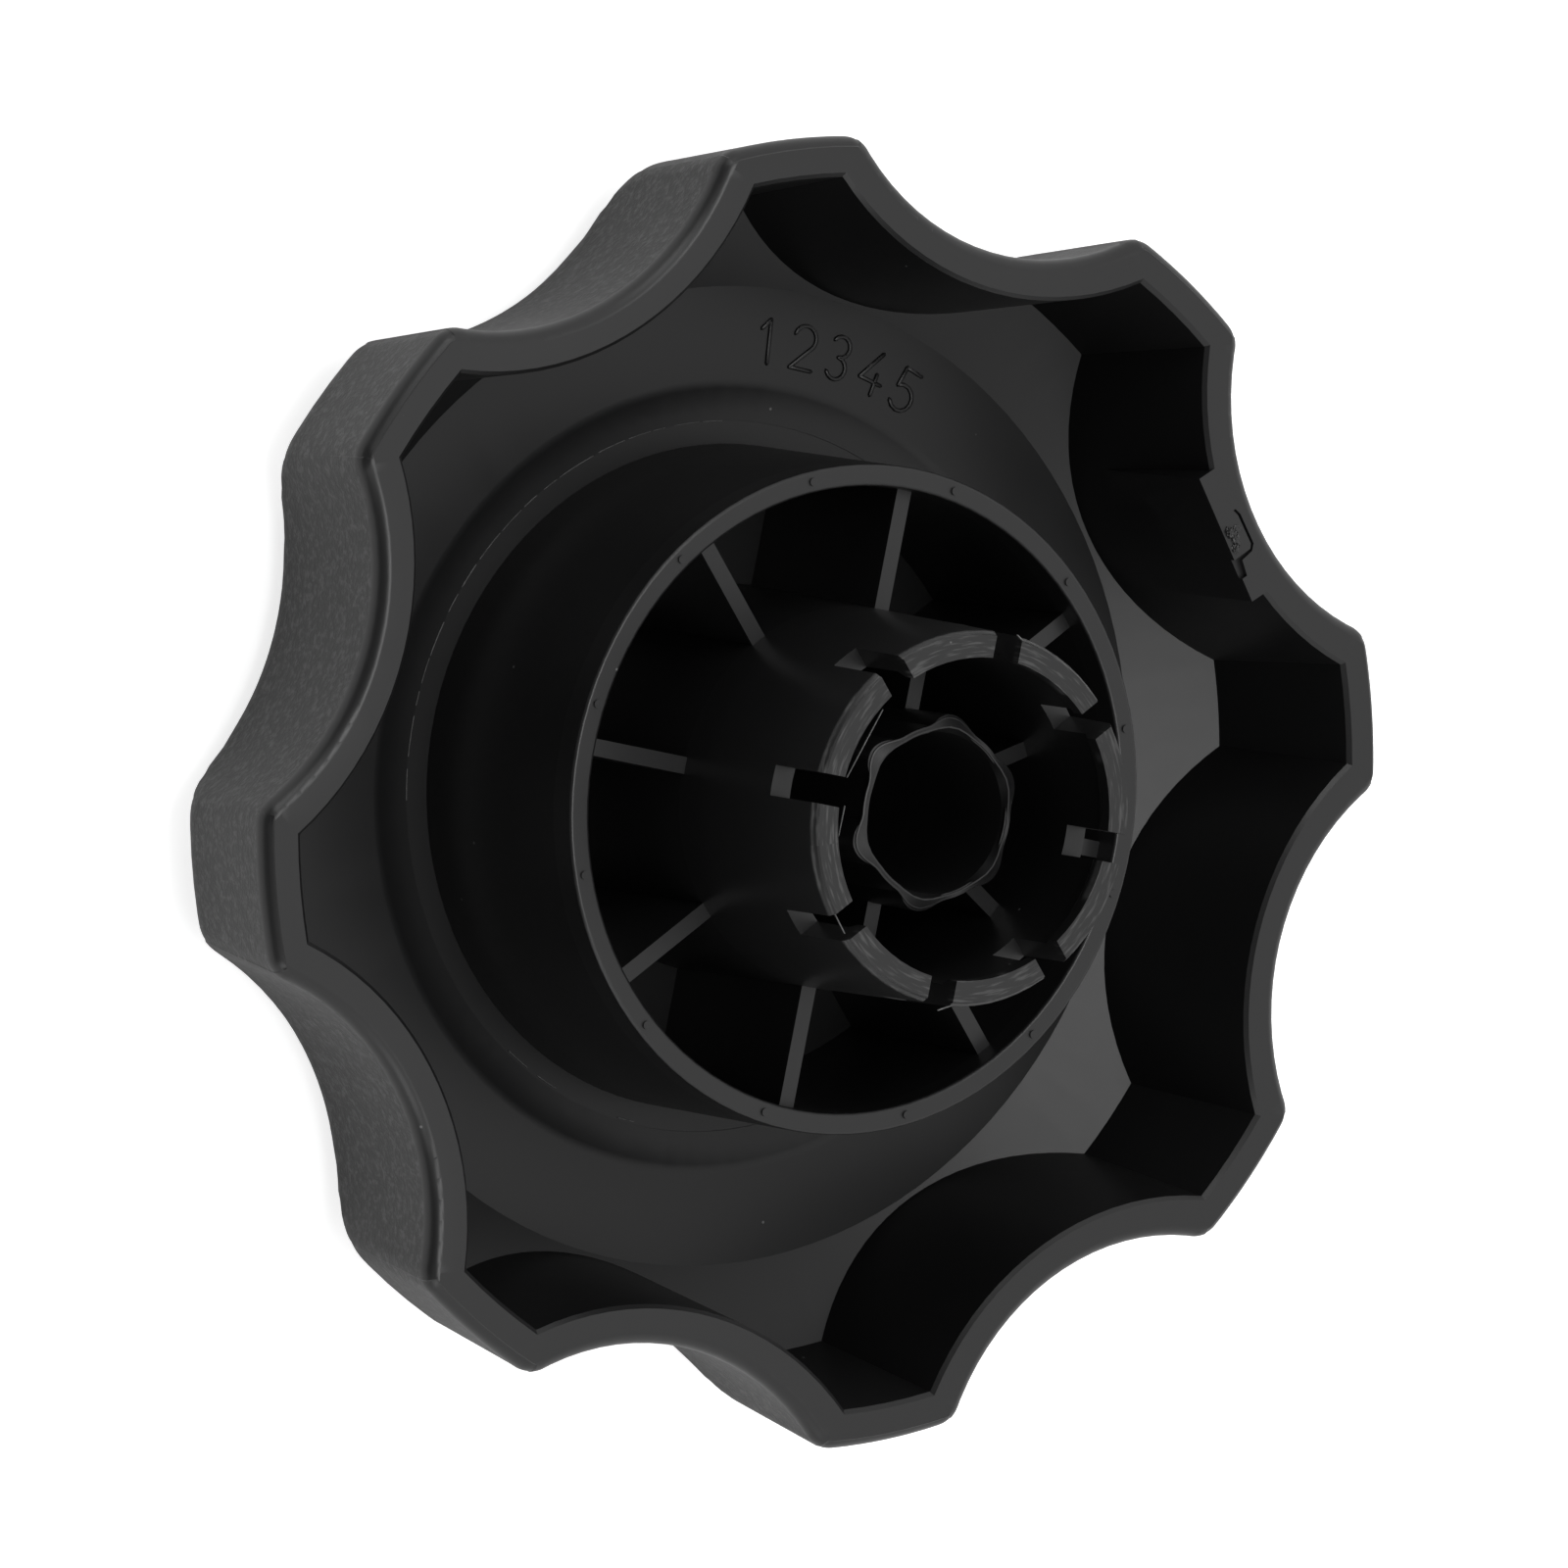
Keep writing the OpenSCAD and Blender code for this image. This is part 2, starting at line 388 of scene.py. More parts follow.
class NodeTools:
    """Short calls for building a node tree; inputs are named, or numbered as i0, i1 and so on."""

    def __init__(self, tree):
        self.tree = tree

    def add(self, kind, **values):
        node = self.tree.nodes.new(kind)
        for key, value in values.items():
            setattr(node, key, value)
        return node

    def link(self, source, target):
        self.tree.links.new(source, target)

    def feed(self, node, **inputs):
        for key, value in inputs.items():
            numbered = key[0] == "i" and key[1:].isdigit()
            socket = node.inputs[int(key[1:]) if numbered else key]
            if isinstance(value, bpy.types.NodeSocket):
                self.link(value, socket)
            else:
                socket.default_value = value
        return node

    def math(self, operation, a, b=0.0):
        node = self.add("ShaderNodeMath", operation=operation)
        self.feed(node, i0=a, i1=b)
        return node.outputs[0]

    def plus(self, a, b):
        return self.math("ADD", a, b)

    def times(self, a, b):
        return self.math("MULTIPLY", a, b)

    def flip(self, mask):
        """1 where the mask is 0, and 0 where it is 1."""
        return self.math("SUBTRACT", 1.0, mask)

    def dot(self, a, b):
        """The dot product of two vectors in the plane."""
        return self.plus(self.times(a[0], b[0]), self.times(a[1], b[1]))

    def length(self, a):
        """The length of a vector in the plane."""
        return self.math("SQRT", self.dot(a, a))

    def step(self, value, low, high):
        """0 below low, 1 above high, smooth between."""
        node = self.add("ShaderNodeMapRange", interpolation_type="SMOOTHSTEP")
        self.feed(node, i0=value, i1=low, i2=high, i3=0.0, i4=1.0)
        return node.outputs[0]

    def blend(self, share, a, b):
        node = self.add("ShaderNodeMix", data_type="FLOAT")
        self.feed(node, i0=share, i2=a, i3=b)
        return node.outputs[0]

    def blend_colour(self, share, a, b):
        node = self.add("ShaderNodeMix", data_type="RGBA")
        self.feed(node, i0=share, i6=a, i7=b)
        return node.outputs[2]

    def noise(self, vector, scale, detail=2.0, roughness=0.5):
        node = self.add("ShaderNodeTexNoise")
        self.feed(node, Vector=vector, Scale=scale, Detail=detail, Roughness=roughness)
        return node.outputs["Fac"]


def new_material(name):
    """A material with only its output, and the tools for its node tree."""
    material = bpy.data.materials.new(name)
    material.use_nodes = True
    material.node_tree.nodes.clear()
    t = NodeTools(material.node_tree)
    t.output = t.add("ShaderNodeOutputMaterial")
    return material, t


def plastic_zones(t, look, place, x, y, z):
    """Masks of the grained outside and of the inside of the skirt."""
    facing = t.add("ShaderNodeSeparateXYZ")
    t.link(place.outputs["Normal"], facing.inputs[0])
    radius = t.length((x, y))
    # outward is 1 on a surface that faces straight away from the axis, and -1 towards it
    outward = t.math("DIVIDE", t.dot((x, y), facing.outputs), radius)
    outside = t.times(t.step(radius, SKIRT_R, SKIRT_R + 1 * MM), t.step(outward, 0.15, 0.25))
    # the grain ends below the rim, along a slightly ragged line
    band_z = RIM_Z - look.smooth_band
    ragged = t.plus(z, t.times(t.noise(place.outputs["Object"], 2500.0), 0.15 * MM))
    wall = t.times(outside, t.flip(t.step(ragged, band_z - 0.05 * MM, band_z + 0.2 * MM)))
    front = t.flip(t.step(facing.outputs[2], -0.4, -0.2))
    inside = t.times(t.flip(t.step(z, RIM_Z - 0.4 * MM, RIM_Z - 0.2 * MM)), t.flip(outside))
    return t.math("MAXIMUM", wall, front), inside


def tip_highlights_and_dust(t, colour, place, x, y, z):
    """The colour with painted highlight lines round the finger tips and a few specks of dust."""
    # painted highlight: pale streaks along the tops of the fingers, where their edges catch the
    # light
    drawn = t.add("ShaderNodeCombineXYZ")
    angle = t.math("ARCTAN2", y, x)
    t.feed(drawn, X=t.times(t.length((x, y)), 4500.0), Y=t.times(angle, 5.0))
    streak = t.step(t.noise(drawn.outputs[0], 1.0, 2.0, 0.6), 0.5, 0.68)
    tips = t.times(t.step(z, TIP_Z - 0.8 * MM, TIP_Z - 0.5 * MM), streak)
    dust = t.add("ShaderNodeTexVoronoi")
    t.feed(dust, Vector=place.outputs["Object"], Scale=230.0)
    speck = t.flip(t.step(dust.outputs["Distance"], 0.015, 0.03))
    return t.blend_colour(speck, t.blend_colour(tips, colour, TIP_HIGHLIGHT_GREY), DUST_GREY)


def moulded_plastic():
    """Black plastic: grained outside, smooth with a soft gloss inside and on the rim."""
    look = bpy.context.scene.knob_plastic
    material, t = new_material("moulded_plastic")
    place = t.add("ShaderNodeTexCoord")
    spot = place.outputs["Object"]
    point = t.add("ShaderNodeSeparateXYZ")
    t.link(spot, point.inputs[0])
    grained, inside = plastic_zones(t, look, place, *point.outputs)

    # noise scales are per metre
    fine = t.noise(spot, 1.0 / look.grain_size, 3.0, 0.6)
    medium = t.noise(spot, 0.45 / look.grain_size)
    grain = t.plus(t.times(fine, 0.5), t.times(medium, 0.5))
    silk = t.noise(spot, 900.0, 3.0, 0.6)
    sweep = t.noise(spot, 55.0)

    grain_bump = t.add("ShaderNodeBump")
    t.feed(grain_bump, Height=grain, Strength=grained, Distance=look.grain_depth)
    silk_height = t.plus(t.times(silk, 0.25), sweep)
    silk_bump = t.add("ShaderNodeBump")
    t.feed(silk_bump, Height=silk_height, Strength=0.35, Distance=0.02 * MM)
    t.link(grain_bump.outputs[0], silk_bump.inputs["Normal"])

    smooth = t.plus(look.smooth_roughness - 0.03, t.times(t.plus(silk, sweep), 0.03))
    rough = t.plus(look.grain_roughness - 0.05, t.times(fine, 0.1))
    # the crests of the grain are painted twelve times as pale as its hollows: painted glints on
    # the crests and painted shade in the hollows
    pale = tuple(min(1, c * 12) for c in look.grain_colour) + (1,)
    grain_with_painted_glint = t.blend_colour(t.step(grain, 0.46, 0.66), (*look.grain_colour, 1), pale)
    colour = t.blend_colour(grained, (*look.colour, 1), grain_with_painted_glint)

    shader = t.add("ShaderNodeBsdfPrincipled")
    t.feed(shader, Roughness=t.blend(grained, smooth, rough), Normal=silk_bump.outputs[0])
    t.link(tip_highlights_and_dust(t, colour, place, *point.outputs), shader.inputs["Base Color"])
    t.link(t.blend(inside, 0.5, look.inner_gloss), shader.inputs["Specular IOR Level"])
    shader.inputs["IOR"].default_value = 1.5
    t.link(shader.outputs[0], t.output.inputs[0])
    return material


def flash_painted_highlight():
    """The same plastic on the thin flash, paled in patches as a painted highlight where its edges
    catch the light.
    """
    material, t = new_material("flash_painted_highlight")
    place = t.add("ShaderNodeTexCoord")
    # painted highlight: patches of pale grey on the thin flash stand in for the light its edges
    # catch
    highlight_patches = t.noise(place.outputs["Object"], 3000.0)
    shader = t.add("ShaderNodeBsdfPrincipled")
    colour = t.blend_colour(highlight_patches, *FLASH_HIGHLIGHT_GREYS)
    t.link(colour, shader.inputs["Base Color"])
    shader.inputs["Roughness"].default_value = 0.35
    t.link(shader.outputs[0], t.output.inputs[0])
    return material


def studio_floor():
    """Pale floor that keeps the object's shadow and shows white to the camera."""
    stage = bpy.context.scene.knob_stage
    material, t = new_material("studio_floor")
    diffuse = t.add("ShaderNodeBsdfDiffuse")
    diffuse.inputs["Color"].default_value = (*stage.floor_colour, 1)
    path = t.add("ShaderNodeLightPath")
    seen = t.math("MAXIMUM", path.outputs["Is Camera Ray"], path.outputs["Is Transmission Ray"])
    mirrored = t.times(path.outputs["Is Glossy Ray"], stage.floor_gloss)
    glow = t.add("ShaderNodeEmission")
    t.feed(glow, Strength=t.math("MAXIMUM", t.times(seen, stage.floor_glow), mirrored))
    both = t.add("ShaderNodeAddShader")
    t.link(diffuse.outputs[0], both.inputs[0])
    t.link(glow.outputs[0], both.inputs[1])
    t.link(both.outputs[0], t.output.inputs[0])
    return material


def studio_surround():
    """White surround, left dark on the camera's side; the camera itself sees only white."""
    stage = bpy.context.scene.knob_stage
    world = bpy.data.worlds.new("studio_surround")
    world.use_nodes = True
    t = NodeTools(world.node_tree)
    background = world.node_tree.nodes["Background"]
    place = t.add("ShaderNodeTexCoord")
    way = t.add("ShaderNodeSeparateXYZ")
    t.link(place.outputs["Generated"], way.inputs[0])
    toward = Vector((stage.camera_place[0], stage.camera_place[1])).normalized()
    level = t.math("MAXIMUM", t.length(way.outputs), 0.0001)
    share = t.math("DIVIDE", t.dot(way.outputs, toward), level)
    # the dark side fades out 42 to 54 degrees beside the camera, and 60 to 70 degrees up
    near = t.step(share, math.cos(math.radians(54)), math.cos(math.radians(42)))
    high = t.step(way.outputs[2], math.sin(math.radians(60)), math.sin(math.radians(70)))
    dark = t.times(near, t.flip(high))
    lit = t.blend(dark, stage.surround, stage.camera_side)
    path = t.add("ShaderNodeLightPath")
    strength = t.blend(path.outputs["Is Camera Ray"], lit, 1.0)
    background.inputs["Color"].default_value = (1, 1, 1, 1)
    t.link(strength, background.inputs["Strength"])
    return world


def plastic():
    """The moulded plastic, made once and shared by the pieces."""
    return bpy.data.materials.get("moulded_plastic") or moulded_plastic()


def flash():
    """The flash's painted highlight plastic, made once and shared by the pieces."""
    return bpy.data.materials.get("flash_painted_highlight") or flash_painted_highlight()


def finished(name, tool, material):
    """Turns a bmesh into a closed piece of the knob that rides on its one body."""
    bmesh.ops.holes_fill(tool, edges=[e for e in tool.edges if e.is_boundary])
    bmesh.ops.recalc_face_normals(tool, faces=tool.faces)
    mesh = bpy.data.meshes.new(name)
    tool.to_mesh(mesh)
    tool.free()
    mesh.shade_smooth()
    piece = bpy.data.objects.new(name, mesh)
    bpy.context.scene.collection.objects.link(piece)
    piece.data.materials.append(material)
    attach(piece, "root")
    return piece


def ridge(tool, points, width, rise, sunk=0.02 * MM):
    """A thin raised line along the points, with a rounded top and closed, sloping ends."""
    profile = [(-0.5, 0), (-0.4, 0.8), (-0.18, 1), (0.18, 1), (0.4, 0.8), (0.5, 0)]
    ring = [tool.verts.new((0, a * width, b * rise - sunk)) for a, b in profile]
    edges = [tool.edges.new((a, b)) for a, b in zip(ring, ring[1:] + ring[:1])]
    made = list(ring)
    ways = [(b - a).normalized() for a, b in zip(points, points[1:])]
    last = Matrix.Identity(4)
    stations = []
    for i, point in enumerate(points):
        before = ways[max(i - 1, 0)]
        after = ways[min(i, len(ways) - 1)]
        mid = (before + after).normalized()
        # a bend is widened, so that both arms keep the line's width
        wide = 1 / max(0.5, mid.dot(after))
        turn = math.atan2(mid.y, mid.x)
        stations.append((point, turn, wide, 1.0))
    first, final = stations[0], stations[-1]
    narrow, flat = 0.3, 0.2
    stations.insert(0, (first[0] - ways[0] * width * 0.5, first[1], narrow, flat))
    stations.append((final[0] + ways[-1] * width * 0.5, final[1], narrow, flat))
    for i, (point, turn, wide, high) in enumerate(stations):
        now = (
            Matrix.Translation(point)
            @ Matrix.Rotation(turn, 4, "Z")
            @ Matrix.Diagonal((1, wide, high, 1))
        )
        if i:
            out = bmesh.ops.extrude_edge_only(tool, edges=edges)["geom"]
            fresh = [g for g in out if isinstance(g, bmesh.types.BMVert)]
            edges = [
                g
                for g in out
                if isinstance(g, bmesh.types.BMEdge) and all(v in fresh for v in g.verts)
            ]
            made += fresh
            bmesh.ops.transform(tool, matrix=now @ last.inverted(), verts=fresh)
        else:
            bmesh.ops.transform(tool, matrix=now, verts=ring)
        last = now
    return made


def arc(centre, radius, start, end, count=10):
    """Points along an arc, angles in degrees."""
    angles = [math.radians(start + (end - start) * i / count) for i in range(count + 1)]
    return [(centre[0] + radius * math.cos(a), centre[1] + radius * math.sin(a)) for a in angles]


# strokes of the digits in a box 2 wide and 3 high
DIGIT_STROKES = {
    "1": [[(0.45, 2.35), (1.1, 3.0)], [(1.1, 3.0), (1.1, 0.0)]],
    "2": [arc((1.0, 2.12), 0.88, 165, -32) + [(0.12, 0.0)], [(0.12, 0.0), (1.9, 0.0)]],
    "3": [arc((0.95, 2.27), 0.73, 150, -90), arc((0.95, 0.77), 0.77, 90, -150)],
    "4": [[(1.35, 3.0), (0.1, 0.9)], [(0.1, 0.9), (1.95, 0.9)], [(1.4, 1.5), (1.4, 0.0)]],
    "5": [
        [(1.75, 3.0), (0.4, 3.0)],
        [(0.4, 3.0), (0.3, 1.62)],
        arc((0.92, 0.94), 0.92, 130, -145),
    ],
}


def shoulder_reach(z, centre, draft, wall):
    """Distance of an outside wall from its own axis at this height.

    The profile is the drafted wall, the round shoulder below it, and the front cone below that.
    """
    low = centre[1] - z
    if low < SHOULDER_R * math.sin(draft):
        return wall + math.tan(draft) * (z - RIM_Z)
    arc_low = min(low, SHOULDER_R * math.cos(CONE_TILT))
    round_part = math.sqrt(SHOULDER_R**2 - arc_low**2)
    return centre[0] + round_part - (low - arc_low) / math.tan(CONE_TILT)


def corner_circle(z):
    """Centre x and y of the rounding where a lobe meets a scallop, its radius and end bearings.

    A scallop's axis lies on x here. It gives None at heights where the two no longer cross.
    """
    look = bpy.context.scene.knob_plastic
    radius = look.corner_low + (look.corner_top - look.corner_low) * z / RIM_Z
    a = shoulder_reach(z, LOBE_SHOULDER, LOBE_DRAFT, LOBE_R) - radius
    hollow = (-SCALLOP_SHOULDER[0], SCALLOP_SHOULDER[1])
    b = radius - shoulder_reach(z, hollow, SCALLOP_DRAFT, -SCALLOP_R)
    x = (SCALLOP_X**2 + a * a - b * b) / (2 * SCALLOP_X)
    if x >= a:
        return None
    y = math.sqrt(a * a - x * x)
    return x, y, radius, math.atan2(y, x), math.atan2(-y, SCALLOP_X - x)


def round_corner(tool, turn, cuts=12, reach=7.5 * MM):
    """Rounds one upright edge of the skirt's outside, and leaves the rest as it is.

    The faces near the edge are first cut in a fan along the new rounding, and then the points
    between its two ends are pulled in onto it.
    """
    back = turn.inverted()
    top, low = corner_circle(RIM_Z), corner_circle(LOBE_SHOULDER[1])
    rim = Vector((*top[:2], RIM_Z))
    line = rim - Vector((*low[:2], LOBE_SHOULDER[1]))
    near = {v for v in tool.verts if ((back @ v.co).xy - rim.xy).length < reach}
    faces = {f for v in near for f in v.link_faces}
    geom = list(faces | {e for f in faces for e in f.edges} | {v for f in faces for v in f.verts})
    # the cuts fan out a tenth past both ends
    for i in range(cuts + 1):
        share = 1.2 * i / cuts - 0.1
        angle = sum(c[3] + (c[4] - c[3]) * share for c in (top, low)) / 2
        across = line.cross(Vector((math.cos(angle), math.sin(angle), 0)))
        geom = bmesh.ops.bisect_plane(
            tool,
            geom=geom,
            dist=SAME_POINT,
            plane_co=turn @ rim,
            plane_no=turn.to_3x3() @ across,
        )["geom"]
    for v in {g for g in geom if isinstance(g, bmesh.types.BMVert)}:
        place = back @ v.co
        circle = corner_circle(place.z)
        if not circle:
            continue
        x, y, radius, lobe, scallop = circle
        arm = place.xy - Vector((x, y))
        off = abs(math.atan2(arm.y, arm.x) - (lobe + scallop) / 2)
        half = (lobe - scallop) / 2
        # the pull is full from 0.8 of the radius outwards and none within 0.5, as inside the wall
        if off < half and arm.length > 0.5 * radius:
            share = min(1, (arm.length / radius - 0.5) / 0.3)
            arm *= 1 - share * (1 - math.cos(half - off))
            v.co = turn @ Vector((x + arm.x, y + arm.y, place.z))


def tube_bump(angle):
    """How far a point round the tube is on a bump: 1 on its crest, 0 between two bumps."""
    half = BUMP_PITCH / 2
    off = abs((math.degrees(angle) - BUMP_START + half) % BUMP_PITCH - half)
    return math.cos(math.radians(90 * min(1, off / BUMP_REACH))) ** 2


class KNOB_OT_moulding(bpy.types.Operator):
    """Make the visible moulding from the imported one, with its upright edges rounded"""

    bl_idname = "knob.moulding"
    bl_label = "Moulding"

    def execute(self, context):
        tool = bmesh.new()
        tool.from_mesh(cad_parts["knob"].data)
        bmesh.ops.remove_doubles(tool, verts=tool.verts, dist=SAME_POINT)
        for i in range(LOBES):
            spin = Matrix.Rotation((i + 0.5) * LOBE_PITCH, 4, "Z")
            round_corner(tool, spin)
            round_corner(tool, spin @ Matrix.Diagonal((1, -1, 1, 1)))
        # the tube's rim draws in a little between its bumps, and stays clear of the bore
        for v in tool.verts:
            radius = v.co.xy.length
            if v.co.z > TUBE_Z - 1 * MM and BORE_CLEAR_R < radius < TUBE_CLEAR_R:
                drawn = TUBE_WAVE * (1 - tube_bump(math.atan2(v.co.y, v.co.x)))
                v.co.xy = v.co.xy * (1 - drawn / radius)
        # the limit keeps the crease between floor and cone sharp
        for edge in tool.edges:
            edge.smooth = edge.calc_face_angle(0) < CREASE
        moulding = finished("moulding", tool, plastic())
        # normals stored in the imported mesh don't fit the rounded edges
        stored = moulding.data.attributes.get("custom_normal")
        if stored:
            moulding.data.attributes.remove(stored)
        shade = moulding.modifiers.new("weighted_normals", "WEIGHTED_NORMAL")
        shade.keep_sharp = True
        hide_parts("knob")
        return {"FINISHED"}


class KNOB_OT_tube_lip(bpy.types.Operator):
    """Lay the rounded wavy lip on the rim of the centre tube"""

    bl_idname = "knob.tube_lip"
    bl_label = "Tube lip"

    def execute(self, context):
        tool = bmesh.new()
        points = []
        lip_r, bulge, count = 5.93 * MM, 0.4 * MM, 144
        for i in range(count + 1):
            a = math.radians(360 * i / count)
            bump = tube_bump(a)
            z = TUBE_Z - TUBE_SLOPE * (0.03 * MM + bulge * bump)
            r = lip_r + bulge * bump - TUBE_WAVE * (1 - bump)
            points.append(Vector((r * math.cos(a), r * math.sin(a), z)))
        ridge(tool, points, width=0.5 * MM, rise=0.1 * MM, sunk=0.16 * MM)
        finished("tube_lip", tool, plastic())
        return {"FINISHED"}


class KNOB_OT_raised_number(bpy.types.Operator):
    """Raise a plain mould number on the floor of the skirt"""

    bl_idname = "knob.raised_number"
    bl_label = "Raised number"

    def execute(self, context):
        mark = context.scene.knob_mark
        unit = mark.height / 3
        tool = bmesh.new()
        for i, digit in enumerate(mark.digits):
            along = (i - (len(mark.digits) - 1) / 2) * mark.pitch
            spin = mark.angle - math.pi / 2 - along
            place = Matrix.Rotation(spin, 4, "Z") @ Matrix.Translation((0, mark.radius, FLOOR_Z))
            for stroke in DIGIT_STROKES[digit]:
                # the box of a digit is 2 by 3 units, and its middle goes on the row
                points = [Vector(((a - 1) * unit, (b - 1.5) * unit, 0)) for a, b in stroke]
                made = ridge(tool, points, mark.stroke, mark.rise)
                bmesh.ops.transform(tool, matrix=place, verts=made)
        finished("raised_number", tool, plastic())
        return {"FINISHED"}


class KNOB_OT_flash_lines(bpy.types.Operator):
    """Add the thin broken flash lines that a worn mould leaves"""

    bl_idname = "knob.flash_lines"
    bl_label = "Flash lines"

    def execute(self, context):
        look = context.scene.knob_flash
        pick = random.Random(look.seed)
        tool = bmesh.new()

        def step_line(radius, start, end, count, width, rise):
            on_arc = arc((0, 0), radius, start, end, count)
            points = [Vector((x, y, STEP_Z + 0.06 * MM)) for x, y in on_arc]
            ridge(tool, points, width, rise)

        # broken line along the outer edge of the ring step, strongest in its middle, in degrees
        angle, last, middle = 84.0, 172.0, 126.0
        while angle < last:
            run = pick.uniform(2.0, 7.0)
            strength = 1.0 - abs(angle - middle) / 75.0
            size = 0.5 + 0.5 * strength
            radius = STEP_R + pick.uniform(-0.02, 0.02) * MM
            width = look.width * pick.uniform(0.7, 1.2) * size
            step_line(radius, angle, angle + run, 8, width, look.rise * size)
            angle += run + pick.uniform(0.2, 1.6) / max(0.3, strength)
        for start, end in ((222, 226.5), (229, 233), (246, 249)):
            step_line(STEP_R - 0.2 * MM, start, end, 5, look.width * 0.8, look.rise * 0.7)
        finished("step_flash", tool, flash())

        # slivers of flash inside two fingers and loose whiskers at finger corners: the x and y of
        # both ends, the height and the width, in mm
        tool = bmesh.new()
        slivers = [
            ((-6.43, 8.23), (-9.57, 4.18), 34.15, 0.09),
            ((-9.95, 2.3), (-10.6, 0.4), 34.2, 0.07),
            ((-11.4, -4.6), (-10.7, -6.1), 34.25, 0.08),
            ((-3.75, -12.35), (-2.35, -12.15), 34.1, 0.1),
            ((4.55, 11.75), (5.15, 11.1), 34.2, 0.1),
            ((9.6, 7.4), (9.1, 7.9), 34.1, 0.1),
        ]
        for a, b, z, width in slivers:
            points = [Vector((x * MM, y * MM, z * MM)) for x, y in (a, b)]
            ridge(tool, points, width * MM, rise=0.12 * MM)
        finished("finger_slivers", tool, flash())
        return {"FINISHED"}


class KNOB_OT_gate_stub(bpy.types.Operator):
    """Add the rough stub left where the moulding was cut from its gate"""

    bl_idname = "knob.gate_stub"
    bl_label = "Gate stub"

    def execute(self, context):
        pick = random.Random(context.scene.knob_flash.seed + 1)
        tool = bmesh.new()
        turn = Matrix.Rotation(LOBE_PITCH / 2, 4, "Z")
        # each lump: its place, its half sizes along and across the wall, and its height, in mm
        for x, y, along, across, high in (
            (35.95, 0.35, 0.45, 0.32, 0.3),
            (36.25, -0.35, 0.5, 0.36, 0.26),
            (35.9, -0.95, 0.35, 0.28, 0.22),
            (36.65, 0.25, 0.3, 0.3, 0.16),
        ):
            lump = bmesh.ops.create_icosphere(tool, subdivisions=3, radius=1.0)["verts"]
            for v in lump:
                v.co *= 1 + pick.uniform(-0.22, 0.22)
            place = turn @ Matrix.Translation((x * MM, y * MM, RIM_Z)) @ Matrix.Diagonal(
                (across * MM, along * MM, high * MM, 1)
            )
            bmesh.ops.transform(tool, matrix=place, verts=lump)
        stub = finished("gate_stub", tool, plastic())
        stub.data.shade_flat()
        return {"FINISHED"}


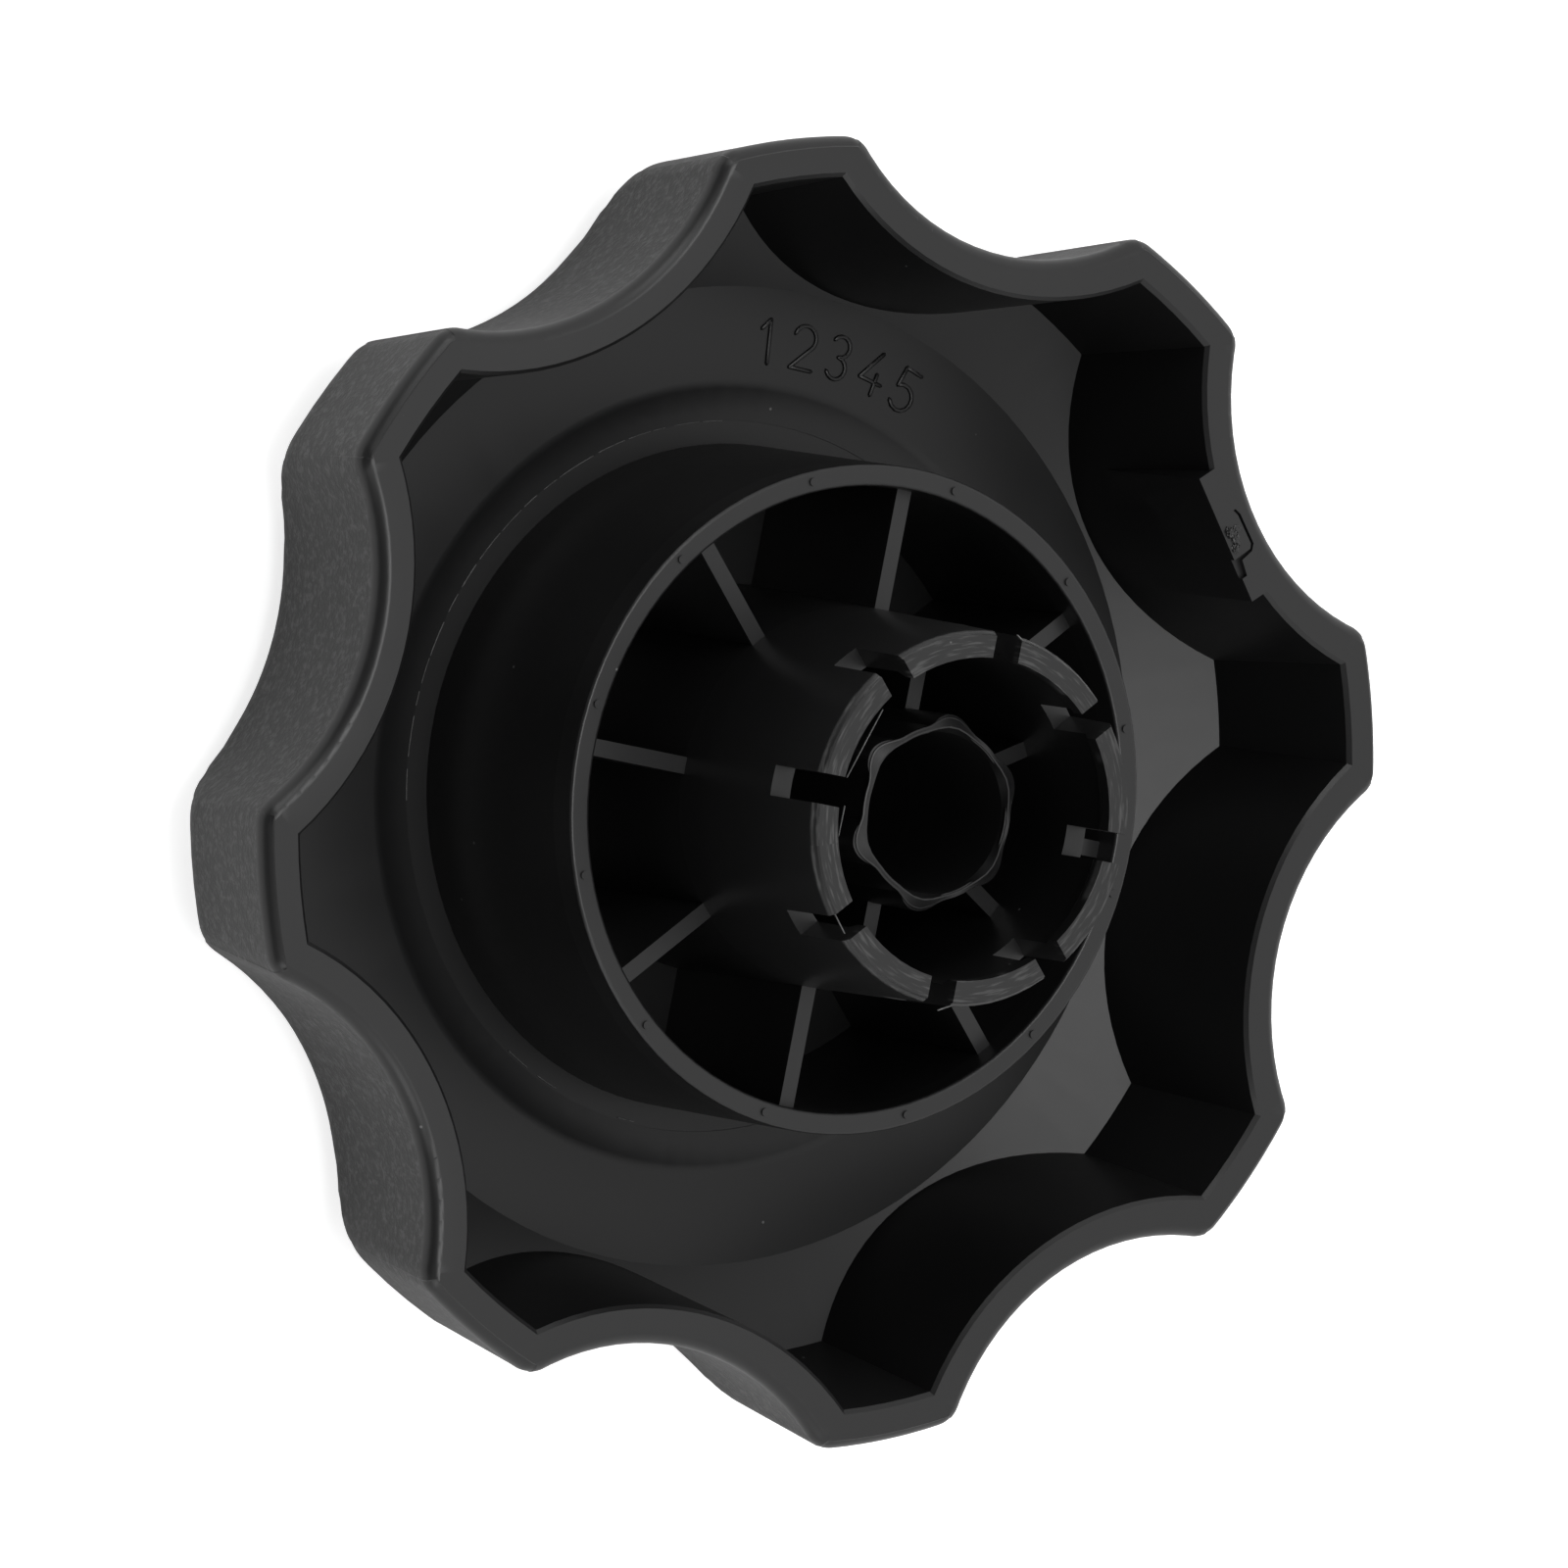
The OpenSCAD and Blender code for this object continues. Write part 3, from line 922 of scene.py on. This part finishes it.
class KNOB_OT_stage(bpy.types.Operator):
    """Set the pale floor, the soft lights and the camera"""

    bl_idname = "knob.stage"
    bl_label = "Studio stage"

    def softbox(self, name, toward, along, width, height, power):
        """A rectangular lamp that lights the knob from one direction, its width along another."""
        light = bpy.data.lights.new(name, "AREA")
        light.shape = "RECTANGLE"
        light.size = width
        light.size_y = height
        light.energy = power
        lamp = bpy.data.objects.new(name, light)
        bpy.context.scene.collection.objects.link(lamp)
        along = (along - toward * along.dot(toward)).normalized()
        axes = Matrix((along, toward.cross(along), toward)).transposed()
        lamp.location = toward * LAMP_DISTANCE
        lamp.rotation_euler = axes.to_euler()

    def execute(self, context):
        stage = context.scene.knob_stage
        tool = bmesh.new()
        bmesh.ops.create_grid(
            tool, x_segments=2, y_segments=2, size=3, matrix=Matrix.Translation((0, 0, -FLOOR_GAP))
        )
        mesh = bpy.data.meshes.new("studio_floor")
        tool.to_mesh(mesh)
        tool.free()
        floor = bpy.data.objects.new("studio_floor", mesh)
        context.scene.collection.objects.link(floor)
        floor.data.materials.append(studio_floor())
        context.scene.world = studio_surround()

        above = Vector((-0.1, 0.107, 0.989)).normalized()
        along = Vector((0.41, 0.91, 0))
        length, width = stage.softbox_length, stage.softbox_width
        self.softbox("softbox_above", above, along, length, width, stage.softbox)
        bearing = math.atan2(stage.camera_place[1], stage.camera_place[0])
        aside, lift = math.radians(62), math.radians(33)
        for name, offset in (("softbox_left", aside), ("softbox_right", -aside)):
            a = bearing + offset
            flat = Vector((math.cos(a), math.sin(a), 0))
            toward = flat * math.cos(lift) + Vector((0, 0, math.sin(lift)))
            level = Vector((-math.sin(a), math.cos(a), 0))
            self.softbox(name, toward, level, *SIDE_BOX, stage.side_light)

        eye = bpy.data.cameras.new("camera")
        eye.sensor_width = 36
        eye.lens = stage.lens
        eye.clip_start = 0.01
        eye.clip_end = 20
        camera = bpy.data.objects.new("camera", eye)
        context.scene.collection.objects.link(camera)
        camera.location = stage.camera_place
        camera.rotation_euler = stage.camera_turn
        context.scene.camera = camera
        context.scene.view_settings.view_transform = "Standard"
        return {"FINISHED"}


class KNOB_PT_panel(bpy.types.Panel):
    bl_label = "Adjustment knob"
    bl_idname = "KNOB_PT_panel"
    bl_space_type = "VIEW_3D"
    bl_region_type = "UI"
    bl_category = "Knob"

    def draw(self, context):
        for step in STEPS:
            self.layout.operator(step)
        for group in GROUPS:
            settings = getattr(context.scene, group)
            box = self.layout.box()
            for name in settings.__annotations__:
                box.prop(settings, name)


STEPS = [
    "knob.stage",
    "knob.moulding",
    "knob.tube_lip",
    "knob.raised_number",
    "knob.flash_lines",
    "knob.gate_stub",
]

GROUPS = {
    "knob_plastic": PlasticSettings,
    "knob_mark": MarkSettings,
    "knob_flash": FlashSettings,
    "knob_stage": StageSettings,
}

CLASSES = [
    *GROUPS.values(),
    KNOB_OT_stage,
    KNOB_OT_moulding,
    KNOB_OT_tube_lip,
    KNOB_OT_raised_number,
    KNOB_OT_flash_lines,
    KNOB_OT_gate_stub,
    KNOB_PT_panel,
]


def register():
    for cls in CLASSES:
        bpy.utils.register_class(cls)
    for name, group in GROUPS.items():
        setattr(bpy.types.Scene, name, PointerProperty(type=group))


def unregister():
    for name in GROUPS:
        delattr(bpy.types.Scene, name)
    for cls in reversed(CLASSES):
        bpy.utils.unregister_class(cls)


def main():
    register()
    for step in STEPS:
        group, name = step.split(".")
        getattr(getattr(bpy.ops, group), name)()


if __name__ == "__main__":
    main()
